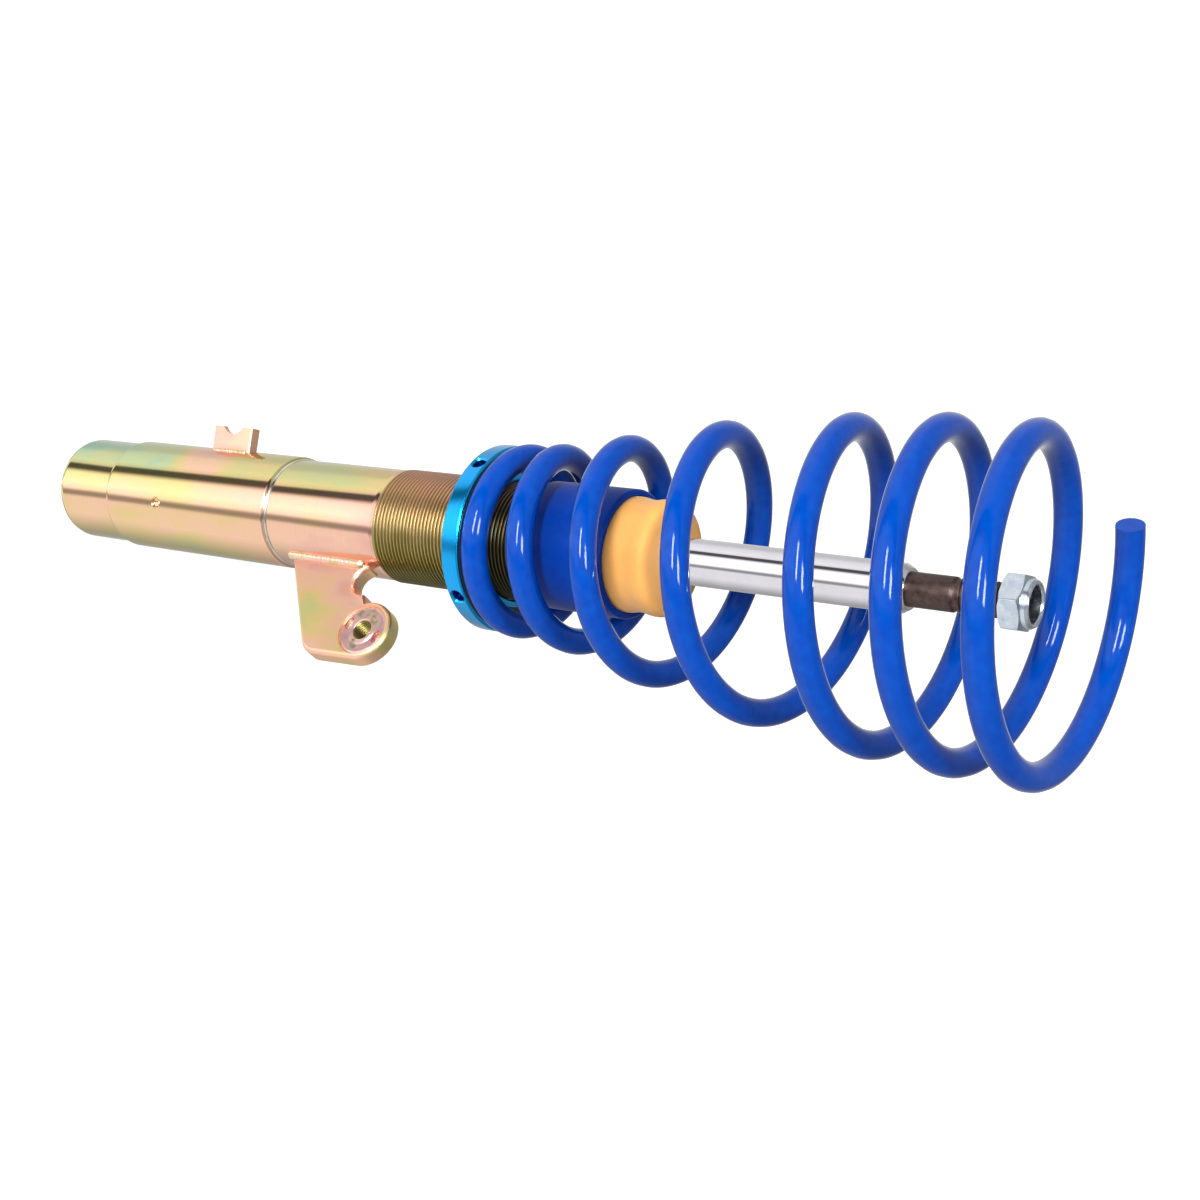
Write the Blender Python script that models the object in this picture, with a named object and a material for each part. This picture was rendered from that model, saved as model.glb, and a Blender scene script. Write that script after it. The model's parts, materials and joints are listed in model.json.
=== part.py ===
"""Height-adjustable front suspension strut, modelled upright.

+Z runs up the strut's axis, and the origin is the centre of the housing's flat
bottom face.  -X and -Y are the sides that the brake-line bracket and the front
of the strut look to.  Sizes below are millimetres and become metres in mm().
"""
import math

import bmesh
import bpy
from mathutils import Matrix, Vector

# Driving dimensions, in millimetres
CLEARANCE = 0.3            # gap kept between pieces that touch

BODY_R = 27.5              # clamped lower part of the housing
BODY_END_R = 26.0          # its reduced lower end
BODY_END_Z = 39.6
BODY_BORE_R = 23.6
SEAM_Z = 152.0             # where the two housing tubes are welded together
TUBE_R = 26.2              # upper tube, below its thread
THREAD_R = 26.75
THREAD_Z = 219.7
TUBE_TOP_Z = 325.0
LOCATING_HOLE_Z = 76.4     # drilled spot that sets the strut's angle in its clamp
LOCATING_HOLE_DEG = 9.8

CAP_THICK = 7.0
PRESSURE_R = 18.0
PRESSURE_BORE_R = 16.2
PRESSURE_BOTTOM_Z = 12.3
PRESSURE_TOP_Z = 298.0

COLLAR_Z = 273.8           # underside of the adjusting collar
COLLAR_R = 42.2
COLLAR_THICK = 9.2
COLLAR_HUB_R = 30.3
COLLAR_HUB_H = 13.4
COLLAR_HOLE_R = 3.0
COLLAR_HOLE_DEG = -1.5     # turn of the four pin holes from the 45 degree lines
WASHER_THICK = 1.6

WIRE_R = 5.85
SPRING_START = -0.42       # turns before the first front crossing
SPRING_END = 6.6
# turn, height and mean coil radius
SPRING_SHAPE = (
    (SPRING_START, 289.1, 37.6),
    (0.0, 289.2, 37.7),
    (1.0, 314.4, 39.7),
    (2.0, 352.0, 47.3),
    (3.0, 401.5, 56.3),
    (4.0, 458.3, 62.1),
    (5.0, 494.1, 63.8),
    (6.0, 528.9, 63.8),
    (SPRING_END, 541.5, 63.8),
)

SLEEVE_R = 28.2
SLEEVE_WALL = 0.9
SLEEVE_Z = 304.0
SLEEVE_TOP_Z = 347.7
STOP_R = 25.2
STOP_BOTTOM_Z = 326.0
STOP_TOP_Z = 367.6

ROD_R = 10.0
ROD_SHOULDER_Z = 473.5
STUB_R = 7.0
STUB_TOP_Z = 519.5
PISTON_Z = 200.0
PISTON_R = 15.6
PINTLE_R = 5.9
NUT_Z = 515.5
NUT_H = 11.5
NUT_FLATS = 21.0

LINK_TURN_DEG = -26.4      # swings the link bracket round from +X towards -Y
LINK_FRONT_Y = -4.4
LINK_DEPTH = 8.0
LINK_SHEET = 3.5
LINK_EYE = (58.0, 226.0)
LINK_EYE_R = 14.8

LINE_TAB_Z = (92.0, 118.0)
LINE_TAB_X = -38.5
LINE_TAB_Y = (-9.0, -3.0)
LINE_TAB_SHEET = 2.5

FINE = 48                  # segments round the large pieces
COARSE = 24                # segments round the small inner pieces


def mm(value):
    return value * 0.001


def clear_scene():
    for obj in list(bpy.data.objects):
        bpy.data.objects.remove(obj, do_unlink=True)


def material(name, colour, metallic, roughness):
    mat = bpy.data.materials.new(name)
    mat.use_nodes = True
    shader = mat.node_tree.nodes["Principled BSDF"]
    shader.inputs["Base Color"].default_value = (*colour, 1.0)
    shader.inputs["Metallic"].default_value = metallic
    shader.inputs["Roughness"].default_value = roughness
    mat.diffuse_color = (*colour, 1.0)
    return mat


def frame_empty(name, height):
    empty = bpy.data.objects.new(name, None)
    empty.empty_display_size = mm(20)
    empty.location = (0.0, 0.0, mm(height))
    bpy.context.scene.collection.objects.link(empty)
    return empty


def attach(obj, empty):
    obj.parent = empty
    obj.matrix_parent_inverse = Matrix.Translation(-empty.location)


def add_object(name, data, mat, empty):
    obj = bpy.data.objects.new(name, data)
    bpy.context.scene.collection.objects.link(obj)
    obj.data.materials.append(mat)
    if empty is not None:
        attach(obj, empty)
    return obj


def finish_mesh(name, bm, mat, empty):
    bmesh.ops.recalc_face_normals(bm, faces=bm.faces)
    mesh = bpy.data.meshes.new(name)
    bm.to_mesh(mesh)
    bm.free()
    for polygon in mesh.polygons:
        polygon.use_smooth = True
    mesh.set_sharp_from_angle(angle=math.radians(32))
    return add_object(name, mesh, mat, empty)


def lathe(name, base, outline, mat, empty, segments=COARSE):
    """Turn a closed outline of (radius, height above base) round the Z axis."""
    bm = bmesh.new()
    verts = [bm.verts.new((mm(r), 0.0, mm(z))) for r, z in outline]
    edges = [bm.edges.new((verts[i - 1], verts[i])) for i in range(1, len(verts))]
    if outline[0][0] > 0.0 or outline[-1][0] > 0.0:
        edges.append(bm.edges.new((verts[-1], verts[0])))
    bmesh.ops.spin(bm, geom=verts + edges, cent=(0, 0, 0), axis=(0, 0, 1),
                   angle=2.0 * math.pi, steps=segments, use_merge=True)
    bmesh.ops.remove_doubles(bm, verts=bm.verts, dist=mm(0.01))
    obj = finish_mesh(name, bm, mat, empty)
    obj.location = (0.0, 0.0, mm(base))
    return obj


def ring(inner, outer, bottom, top, chamfer=0.0):
    """Outline of a plain ring, with its outer edges chamfered."""
    if chamfer == 0.0:
        return [(inner, bottom), (outer, bottom), (outer, top), (inner, top)]
    return [(inner, bottom), (outer - chamfer, bottom), (outer, bottom + chamfer),
            (outer, top - chamfer), (outer - chamfer, top), (inner, top)]


def cutter(name, bm, target, operation="DIFFERENCE"):
    """Turn bm into a hidden cutting object and apply it to target as a Boolean."""
    bmesh.ops.recalc_face_normals(bm, faces=bm.faces)
    mesh = bpy.data.meshes.new(name)
    bm.to_mesh(mesh)
    bm.free()
    obj = bpy.data.objects.new(name, mesh)
    bpy.context.scene.collection.objects.link(obj)
    obj.hide_render = True
    obj.display_type = "WIRE"
    cut = target.modifiers.new(name, "BOOLEAN")
    cut.operation = operation
    cut.solver = "EXACT"
    cut.object = obj
    return obj


def add_drill(bm, radius, length, matrix, segments=16):
    bmesh.ops.create_cone(bm, cap_ends=True, segments=segments, radius1=mm(radius),
                          radius2=mm(radius), depth=mm(length), matrix=matrix)


def ring_of_drills(radius, length, circle, height, count, turn=0.0, segments=12):
    """Drills along Z, spaced evenly on a circle."""
    bm = bmesh.new()
    for index in range(count):
        angle = turn + 2.0 * math.pi * index / count
        place = Vector((mm(circle) * math.cos(angle), mm(circle) * math.sin(angle), mm(height)))
        add_drill(bm, radius, length, Matrix.Translation(place), segments)
    return bm


def radial_drills(radius, length, distance, height, angles, segments=16):
    """Drills along the radius, at the given angles."""
    bm = bmesh.new()
    for angle in angles:
        turn = Matrix.Rotation(angle, 4, "Z")
        place = Matrix.Translation(Vector((mm(distance), 0.0, mm(height))))
        lay = Matrix.Rotation(math.radians(90), 4, "Y")
        add_drill(bm, radius, length, turn @ place @ lay, segments)
    return bm


def arc(centre, radius, start_deg, end_deg, steps):
    points = []
    for index in range(steps + 1):
        angle = math.radians(start_deg + (end_deg - start_deg) * index / steps)
        points.append((centre[0] + radius * math.cos(angle), centre[1] + radius * math.sin(angle)))
    return points


def hexagon_prism(bm, flats, bottom, top, bore, segments):
    """A hexagon with a round bore, as rings of vertices bridged together."""
    corner = flats / math.sqrt(3.0)
    loops = []
    for radius_of, height in ((None, bottom), (None, top), (bore, top), (bore, bottom)):
        verts = []
        for index in range(segments):
            angle = 2.0 * math.pi * index / segments
            if radius_of is None:
                offset = (angle + math.pi / 6.0) % (math.pi / 3.0) - math.pi / 6.0
                radius = corner * math.cos(math.pi / 6.0) / math.cos(offset)
            else:
                radius = radius_of
            verts.append(bm.verts.new((mm(radius) * math.cos(angle), mm(radius) * math.sin(angle),
                                       mm(height))))
        loops.append(verts)
    for low, high in zip(loops, loops[1:] + loops[:1]):
        for index in range(segments):
            after = (index + 1) % segments
            bm.faces.new((low[index], low[after], high[after], high[index]))


# ---------------------------------------------------------------- housing

def build_housing(mats, empty):
    gold = mats["zinc"]
    lower = lathe("lower_tube", 0.0, [
        (BODY_BORE_R, 0.0), (BODY_END_R - 1.9, 0.0), (BODY_END_R - 0.7, 0.9),
        (BODY_END_R, 2.8), (BODY_END_R, BODY_END_Z - 1.2), (BODY_R - 0.3, BODY_END_Z),
        (BODY_R, BODY_END_Z + 0.6), (BODY_R, SEAM_Z - 1.4), (BODY_R - 0.9, SEAM_Z - 0.5),
        (BODY_BORE_R, SEAM_Z - 0.5)], gold, empty, FINE)
    angle = math.radians(LOCATING_HOLE_DEG - 90.0)
    cutter("locating_drill", radial_drills(2.5, 3.7, BODY_R + 0.2, LOCATING_HOLE_Z, [angle], 16), lower)

    lathe("threaded_tube", SEAM_Z, [
        (BODY_BORE_R, 0.0), (TUBE_R - 0.7, 0.0), (TUBE_R, 0.8), (TUBE_R, THREAD_Z - SEAM_Z - 0.8),
        (THREAD_R, THREAD_Z - SEAM_Z), (THREAD_R, TUBE_TOP_Z - SEAM_Z - 1.0),
        (THREAD_R - 1.0, TUBE_TOP_Z - SEAM_Z), (BODY_BORE_R, TUBE_TOP_Z - SEAM_Z)],
        gold, empty, FINE)

    lathe("base_cap", 0.0, [
        (0.0, 0.0), (BODY_BORE_R - 1.2, 0.0), (BODY_BORE_R - CLEARANCE, 0.9),
        (BODY_BORE_R - CLEARANCE, CAP_THICK), (BODY_BORE_R - 4.0, CAP_THICK),
        (BODY_BORE_R - 5.5, CAP_THICK - 2.5), (0.0, CAP_THICK - 2.5)], gold, empty, COARSE)


def link_bracket_outline():
    """Side view of the link bracket as (distance from the axis, height)."""
    corner = (62.4, 203.6)
    notch = (33.0, 214.8)
    points = [(22.0, 160.0)]
    points += arc(corner, 11.2, -52.0, 0.0, 5)
    points += arc(LINK_EYE, LINK_EYE_R, 0.0, 205.0, 16)
    points += arc(notch, 8.0, 15.0, -168.0, 12)
    points.append((22.0, 213.5))
    return points


def build_link_bracket(mats, empty):
    back = LINK_FRONT_Y + LINK_DEPTH
    bm = bmesh.new()
    face = bm.faces.new([bm.verts.new((mm(x), mm(back), mm(z))) for x, z in link_bracket_outline()])
    bm.faces.ensure_lookup_table()
    grown = bmesh.ops.extrude_face_region(bm, geom=[face])
    front_verts = [item for item in grown["geom"] if isinstance(item, bmesh.types.BMVert)]
    bmesh.ops.translate(bm, vec=(0.0, -mm(LINK_DEPTH), 0.0), verts=front_verts)
    bmesh.ops.recalc_face_normals(bm, faces=bm.faces)
    back_face = max(bm.faces, key=lambda item: item.calc_center_median().y)
    bmesh.ops.inset_region(bm, faces=[back_face], thickness=mm(LINK_SHEET - 0.3))
    pocket = max(bm.faces, key=lambda item: (round(item.calc_center_median().y, 6), item.calc_area()))
    floor = bmesh.ops.extrude_face_region(bm, geom=[pocket])
    floor_verts = [item for item in floor["geom"] if isinstance(item, bmesh.types.BMVert)]
    bmesh.ops.translate(bm, vec=(0.0, -mm(LINK_DEPTH - LINK_SHEET), 0.0), verts=floor_verts)
    bmesh.ops.delete(bm, geom=[pocket], context="FACES_ONLY")
    bracket = finish_mesh("link_bracket", bm, mats["zinc"], empty)
    turn = math.radians(LINK_TURN_DEG)
    bracket.rotation_euler = (0.0, 0.0, turn)

    cut = bmesh.new()
    add_drill(cut, TUBE_R + CLEARANCE + 0.05, 90.0, Matrix.Translation((0, 0, mm(186))), 96)
    cutter("tube_clearance", cut, bracket)
    eye = Matrix.Rotation(turn, 4, "Z") @ Matrix.Translation((mm(LINK_EYE[0]), 0, mm(LINK_EYE[1])))
    lay = Matrix.Rotation(math.radians(-90), 4, "X")
    hole = bmesh.new()
    add_drill(hole, 9.6, 12.0, eye @ Matrix.Translation((0, mm(LINK_FRONT_Y), 0)) @ lay, 24)
    cutter("eye_drill", hole, bracket)

    front = LINK_FRONT_Y + LINK_SHEET
    nut = lathe("link_weld_nut", 0.0, [
        (4.25, LINK_FRONT_Y + 0.2), (9.2, LINK_FRONT_Y + 0.2), (9.2, front + CLEARANCE),
        (11.2, front + CLEARANCE), (11.2, front + 2.8), (8.0, front + 2.8),
        (8.0, front + 6.9), (4.25, front + 6.9)],
        mats["zinc"], empty, COARSE)
    nut.matrix_basis = eye @ lay


def build_line_bracket(mats, empty):
    """A folded tab: a channel standing off the tube with a saddle in its top edge."""
    low, high = LINE_TAB_Z
    front, back = LINE_TAB_Y
    sheet = LINE_TAB_SHEET
    section = [(front + 1.0, low), (back, low), (back, low + sheet), (front + sheet, low + sheet),
               (front + sheet, high - sheet), (back, high - sheet), (back, high),
               (front + 1.0, high), (front, high - 1.0), (front, low + 1.0)]
    bm = bmesh.new()
    face = bm.faces.new([bm.verts.new((mm(-22.0), mm(y), mm(z))) for y, z in section])
    grown = bmesh.ops.extrude_face_region(bm, geom=[face])
    verts = [item for item in grown["geom"] if isinstance(item, bmesh.types.BMVert)]
    bmesh.ops.translate(bm, vec=(mm(LINE_TAB_X + 22.0), 0.0, 0.0), verts=verts)
    tab = finish_mesh("brake_line_bracket", bm, mats["zinc"], empty)

    foot = bmesh.new()
    add_drill(foot, BODY_R + CLEARANCE + 0.05, 60.0, Matrix.Translation((0, 0, mm(105))), 96)
    cutter("foot_clearance", foot, tab)
    middle = 0.5 * (low + high)
    saddle = bmesh.new()
    add_drill(saddle, 8.0, 20.0, Matrix.Translation((mm(LINE_TAB_X - 4.4), mm(front), mm(middle)))
              @ Matrix.Rotation(math.radians(90), 4, "X"), 24)
    cutter("saddle_cut", saddle, tab)


# ---------------------------------------------------------------- damper inside

def build_base_valve(mats, empty):
    steel = mats["steel"]
    lathe("pressure_tube", PRESSURE_BOTTOM_Z, ring(
        PRESSURE_BORE_R, PRESSURE_R, 0.0, PRESSURE_TOP_Z - PRESSURE_BOTTOM_Z), steel, empty, 32)
    body = lathe("base_valve_body", CAP_THICK + CLEARANCE, [
        (3.3, 0.0), (18.6, 0.0), (19.6, 1.0), (19.6, 4.7), (15.9, 4.7), (15.9, 9.0),
        (3.3, 9.0)], steel, empty)
    cutter("base_valve_drill", ring_of_drills(1.6, 30.0, 10.5, 12.0, 6), body)
    valve_top = CAP_THICK + CLEARANCE + 9.0
    lathe("base_valve_disc", valve_top + CLEARANCE, ring(3.6, 13.2, 0.0, 0.7), mats["dark"], empty)
    spring = bpy.data.curves.new("check_spring", "CURVE")
    spring.dimensions = "3D"
    spring.bevel_depth = mm(0.5)
    spring.bevel_resolution = 0
    spring.use_fill_caps = True
    line = spring.splines.new("POLY")
    steps = 48
    line.points.add(steps)
    for index in range(steps + 1):
        part = index / steps
        angle = 2.0 * math.pi * 2.5 * part
        radius = mm(9.0 - 3.5 * part)
        line.points[index].co = (radius * math.cos(angle), radius * math.sin(angle),
                                 mm(0.8 + 5.0 * part), 1.0)
    spring_obj = add_object("check_spring", spring, mats["steel"], empty)
    spring_obj.location = (0.0, 0.0, mm(valve_top + 1.0))
    lathe("base_valve_bolt", CAP_THICK + CLEARANCE + 0.5, [
        (0.0, 0.0), (3.0, 0.0), (3.0, 17.0), (7.0, 17.0), (7.0, 20.5), (6.0, 21.5),
        (0.0, 21.5)], mats["dark"], empty, 12)


def build_top_closure(mats, empty):
    guide_z = PRESSURE_TOP_Z - 6.0
    lathe("rod_guide", guide_z, [
        (11.5, 0.0), (15.9, 0.0), (15.9, 6.3), (23.3, 6.3), (23.3, 11.6), (21.2, 11.6),
        (21.2, 14.2), (23.3, 14.2), (23.3, 19.5), (20.6, 19.5), (20.6, 17.0),
        (13.2, 17.0), (13.2, 15.2), (11.5, 15.2)], mats["aluminium"], empty, 32)
    lathe("guide_bush", guide_z + 0.6, ring(ROD_R + CLEARANCE, 11.2, 0.0, 14.0), mats["bronze"], empty, 32)
    lathe("guide_o_ring", guide_z + 12.9, [
        (22.35 + 0.9 * math.cos(k * math.pi / 4), 0.9 * math.sin(k * math.pi / 4))
        for k in range(8)], mats["rubber"], empty)
    lathe("rod_seal", guide_z + 17.3, [
        (ROD_R + CLEARANCE, 0.8), (11.2, 0.0), (20.3, 0.0), (20.3, 2.2), (13.0, 2.2),
        (12.6, 4.4), (11.4, 4.4), (ROD_R + CLEARANCE, 3.6)], mats["rubber"], empty)
    gland = lathe("gland_nut", guide_z + 19.9, [
        (14.0, 0.0), (BODY_BORE_R - CLEARANCE, 0.0), (BODY_BORE_R - CLEARANCE, 12.3),
        (BODY_BORE_R - 1.1, 13.1), (14.8, 13.1), (14.8, 8.4), (14.0, 7.6)],
        mats["steel"], empty, 32)
    cutter("gland_drill", ring_of_drills(1.6, 6.0, 19.4, guide_z + 33.0, 4, math.pi / 4), gland)
    lathe("wiper_seal", guide_z + 28.9, [
        (ROD_R + CLEARANCE, 4.0), (11.0, 0.0), (14.5, 0.0), (14.5, 3.9), (11.6, 4.1),
        (10.8, 4.9)],
        mats["rubber"], empty)


# ---------------------------------------------------------------- moving pieces

def build_seat(mats, seat, collar):
    rim = COLLAR_THICK
    seat_floor = rim - WASHER_THICK - CLEARANCE
    body = lathe("adjuster_collar", COLLAR_Z, [
        (THREAD_R + 0.3, 0.6), (THREAD_R + 1.0, 0.0), (COLLAR_R - 0.8, 0.0), (COLLAR_R, 0.8),
        (COLLAR_R, rim - 0.5), (COLLAR_R - 0.5, rim), (COLLAR_R - 1.6, rim),
        (COLLAR_R - 1.6, seat_floor), (COLLAR_HUB_R, seat_floor), (COLLAR_HUB_R, COLLAR_HUB_H - 0.8),
        (COLLAR_HUB_R - 0.8, COLLAR_HUB_H), (THREAD_R + 1.0, COLLAR_HUB_H),
        (THREAD_R + 0.3, COLLAR_HUB_H - 0.7)], mats["cyan"], collar, FINE)
    angles = [math.radians(45.0 + COLLAR_HOLE_DEG + 90.0 * index) for index in range(4)]
    holes = radial_drills(COLLAR_HOLE_R, 18.0, COLLAR_R, COLLAR_Z + 5.0, angles)
    back = math.radians(90.0)
    screw_hole = radial_drills(2.8, 12.4, COLLAR_R - 0.5, COLLAR_Z + 4.0, [back], 12)
    cutter("collar_drill", holes, body)
    cutter("lock_screw_drill", screw_hole, body)

    screw = lathe("collar_lock_screw", 0.0, [
        (0.0, 0.0), (1.6, 0.0), (2.45, 0.8), (2.45, 5.6), (1.9, 6.0), (1.3, 6.0),
        (1.3, 3.4), (0.0, 3.0)], mats["dark"], collar, 12)
    screw.matrix_basis = (Matrix.Rotation(back, 4, "Z")
                          @ Matrix.Translation((mm(COLLAR_R - 6.4), 0, mm(COLLAR_Z + 4.0)))
                          @ Matrix.Rotation(math.radians(90), 4, "Y"))
    lathe("seat_washer", COLLAR_Z + rim - WASHER_THICK, ring(
        COLLAR_HUB_R + CLEARANCE, COLLAR_R - 1.9, 0.0, WASHER_THICK), mats["plastic"], seat, 40)


def tangents(knots, values):
    """Slopes at the knots that keep the curve between them from overshooting."""
    steps = [b - a for a, b in zip(knots, knots[1:])]
    slopes = [(b - a) / h for a, b, h in zip(values, values[1:], steps)]
    result = [slopes[0]]
    for left, right, before, after in zip(slopes, slopes[1:], steps, steps[1:]):
        if left * right <= 0.0:
            result.append(0.0)
            continue
        weight_a = 2.0 * after + before
        weight_b = after + 2.0 * before
        result.append((weight_a + weight_b) / (weight_a / left + weight_b / right))
    result.append(slopes[-1])
    return result


def smooth_value(knots, values, slopes, place):
    index = max(0, min(len(knots) - 2, sum(1 for knot in knots[1:] if knot <= place)))
    width = knots[index + 1] - knots[index]
    part = (place - knots[index]) / width
    rest = 1.0 - part
    return (values[index] * (1.0 + 2.0 * part) * rest * rest
            + slopes[index] * width * part * rest * rest
            + values[index + 1] * part * part * (3.0 - 2.0 * part)
            - slopes[index + 1] * width * part * part * rest)


def build_spring(mats, empty):
    knots = [row[0] for row in SPRING_SHAPE]
    heights = [row[1] for row in SPRING_SHAPE]
    radii = [row[2] for row in SPRING_SHAPE]
    rise = tangents(knots, heights)
    growth = tangents(knots, radii)
    curve = bpy.data.curves.new("main_spring", "CURVE")
    curve.dimensions = "3D"
    curve.bevel_depth = mm(WIRE_R)
    curve.bevel_resolution = 1
    curve.use_fill_caps = True
    line = curve.splines.new("POLY")
    count = 206
    line.points.add(count)
    for index in range(count + 1):
        turn = SPRING_START + (SPRING_END - SPRING_START) * index / count
        radius = mm(smooth_value(knots, radii, growth, turn))
        height = mm(smooth_value(knots, heights, rise, turn) - SPRING_SHAPE[0][1])
        angle = 2.0 * math.pi * turn
        line.points[index].co = (radius * math.sin(angle), -radius * math.cos(angle), height, 1.0)
    spring = add_object("main_spring", curve, mats["blue"], empty)
    spring.location = (0.0, 0.0, mm(SPRING_SHAPE[0][1]))


def build_bump_stop(mats, empty):
    wall = SLEEVE_WALL
    height = SLEEVE_TOP_Z - SLEEVE_Z
    lathe("dust_sleeve", SLEEVE_Z, [
        (SLEEVE_R - wall, 0.0), (SLEEVE_R, 0.0), (SLEEVE_R, height - 1.0),
        (SLEEVE_R - 0.9, height), (STOP_R + CLEARANCE, height),
        (STOP_R + CLEARANCE, height - wall), (SLEEVE_R - wall, height - wall - 0.5)],
        mats["blue_plastic"], empty, FINE)
    tall = STOP_TOP_Z - STOP_BOTTOM_Z
    lathe("bump_stop", STOP_BOTTOM_Z, [
        (ROD_R + 0.3, 0.0), (16.0, 0.0), (19.0, 3.0), (19.0, 5.0), (17.0, 8.0), (21.5, 12.0),
        (STOP_R, 15.0), (STOP_R, 22.0), (STOP_R - 0.9, 27.0), (STOP_R - 0.9, 31.0),
        (STOP_R, 36.0), (STOP_R, tall - 3.4), (STOP_R - 1.1, tall - 1.0), (STOP_R - 3.4, tall),
        (ROD_R + 1.2, tall), (ROD_R + 0.3, tall - 1.0)], mats["foam"], empty, 40)


def build_rod(mats, carriage, rod):
    chrome = mats["chrome"]
    pintle_z = PISTON_Z - 12.0
    shoulder = PISTON_Z + 15.3
    lathe("piston_rod", 0.0, [
        (0.0, pintle_z), (PINTLE_R - 0.8, pintle_z), (PINTLE_R, pintle_z + 0.8),
        (PINTLE_R, shoulder), (ROD_R, shoulder), (ROD_R, 278.4), (ROD_R - 0.8, 278.4),
        (ROD_R - 0.8, 280.6), (ROD_R, 280.6), (ROD_R, ROD_SHOULDER_Z), (8.4, ROD_SHOULDER_Z + 3.0),
        (STUB_R, ROD_SHOULDER_Z + 3.0), (STUB_R, STUB_TOP_Z - 1.0), (STUB_R - 1.0, STUB_TOP_Z),
        (3.0, STUB_TOP_Z), (3.0, STUB_TOP_Z - 6.0), (0.0, STUB_TOP_Z - 6.5)], chrome, rod, 32)
    lathe("rebound_stop_ring", 278.7, [
        (ROD_R - 0.5, 0.0), (14.6, 0.0), (14.6, 2.4), (ROD_R + 0.3, 2.4), (ROD_R + 0.3, 1.6),
        (ROD_R - 0.5, 1.6)], mats["steel"], rod)
    lathe("rebound_cushion", 281.4, ring(ROD_R + 0.3, 14.6, 0.0, 10.0, 1.2), mats["plastic"], rod)

    height = 12.0
    body = lathe("piston", PISTON_Z, [
        (PINTLE_R + 0.3, 0.0), (PISTON_R, 0.0), (PISTON_R, 2.2), (PISTON_R - 1.0, 2.2),
        (PISTON_R - 1.0, height - 2.2), (PISTON_R, height - 2.2), (PISTON_R, height),
        (PINTLE_R + 0.3, height)], mats["steel"], rod, 32)
    cutter("piston_drill", ring_of_drills(1.4, 30.0, 11.6, PISTON_Z + 6.0, 8), body)
    lathe("piston_band", PISTON_Z + 2.5, ring(PISTON_R - 0.7, PISTON_R + 0.4, 0.0, height - 5.0),
          mats["plastic"], carriage, 32)
    lathe("compression_shims", PISTON_Z + height + CLEARANCE, ring(PINTLE_R + 0.3, 13.4, 0.0, 0.9),
          mats["dark"], rod)
    lathe("shim_backing_washer", PISTON_Z + height + 1.5, ring(PINTLE_R + 0.3, 10.0, 0.0, 1.5),
          mats["steel"], rod)
    lathe("rebound_shims", PISTON_Z - 1.2, ring(PINTLE_R + 0.3, 13.8, 0.0, 0.9), mats["dark"], rod)
    bm = bmesh.new()
    hexagon_prism(bm, 18.0, 0.0, 7.6, PINTLE_R + 0.3, 24)
    piston_nut = finish_mesh("piston_nut", bm, mats["steel"], rod)
    piston_nut.location = (0.0, 0.0, mm(PISTON_Z - 9.1))

    build_top_nut(mats, rod)


def build_top_nut(mats, rod):
    """A hexagon nut with a round locking collar on its outer end."""
    corner = NUT_FLATS / math.sqrt(3.0)
    hex_height = NUT_H - 3.0
    nut = lathe("top_nut", NUT_Z, [
        (STUB_R + 0.3, 0.5), (STUB_R + 1.0, 0.0), (corner - 1.3, 0.0), (corner, 1.0),
        (corner, hex_height - 1.0), (corner - 1.6, hex_height), (9.6, hex_height),
        (9.6, NUT_H - 1.2), (8.7, NUT_H), (STUB_R + 0.7, NUT_H), (STUB_R + 0.3, NUT_H - 0.8)],
        mats["silver_zinc"], rod, FINE)
    bm = bmesh.new()
    low = mm(NUT_Z - 2.0)
    high = mm(NUT_Z + NUT_H + 2.0)
    loops = []
    for height in (low, high):
        loops.append([bm.verts.new((mm(corner) * math.cos(k * math.pi / 3),
                                    mm(corner) * math.sin(k * math.pi / 3), height))
                      for k in range(6)])
    bm.faces.new(loops[0])
    bm.faces.new(loops[1])
    for index in range(6):
        after = (index + 1) % 6
        bm.faces.new((loops[0][index], loops[0][after], loops[1][after], loops[1][index]))
    cutter("nut_flats", bm, nut, "INTERSECT")


def main():
    clear_scene()
    mats = {
        "zinc": material("yellow_zinc", (0.78, 0.60, 0.36), 1.0, 0.32),
        "silver_zinc": material("silver_zinc", (0.66, 0.68, 0.72), 1.0, 0.28),
        "chrome": material("chrome", (0.80, 0.80, 0.82), 1.0, 0.08),
        "steel": material("bright_steel", (0.50, 0.50, 0.51), 1.0, 0.35),
        "dark": material("dark_steel", (0.10, 0.10, 0.11), 1.0, 0.40),
        "aluminium": material("aluminium", (0.72, 0.72, 0.73), 1.0, 0.38),
        "bronze": material("bronze_bush", (0.42, 0.28, 0.16), 0.9, 0.45),
        "rubber": material("seal_rubber", (0.015, 0.015, 0.016), 0.0, 0.65),
        "plastic": material("black_plastic", (0.02, 0.02, 0.02), 0.0, 0.50),
        "cyan": material("cyan_anodised", (0.01, 0.33, 0.80), 1.0, 0.30),
        "blue": material("blue_powder_coat", (0.005, 0.05, 0.52), 0.0, 0.18),
        "blue_plastic": material("blue_sleeve", (0.006, 0.04, 0.38), 0.0, 0.42),
        "foam": material("yellow_foam", (0.80, 0.42, 0.11), 0.0, 0.62),
    }
    housing = frame_empty("housing_frame", 0.0)
    seat = frame_empty("seat_frame", COLLAR_Z)
    collar = frame_empty("collar_frame", COLLAR_Z)
    spring = frame_empty("spring_frame", COLLAR_Z)
    carriage = frame_empty("stroke_frame", PISTON_Z)
    rod = frame_empty("rod_frame", PISTON_Z)
    stop = frame_empty("stop_frame", STOP_BOTTOM_Z)

    build_housing(mats, housing)
    build_link_bracket(mats, housing)
    build_line_bracket(mats, housing)
    build_base_valve(mats, housing)
    build_top_closure(mats, housing)
    build_seat(mats, seat, collar)
    build_spring(mats, spring)
    build_bump_stop(mats, stop)
    build_rod(mats, carriage, rod)


main()
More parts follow.
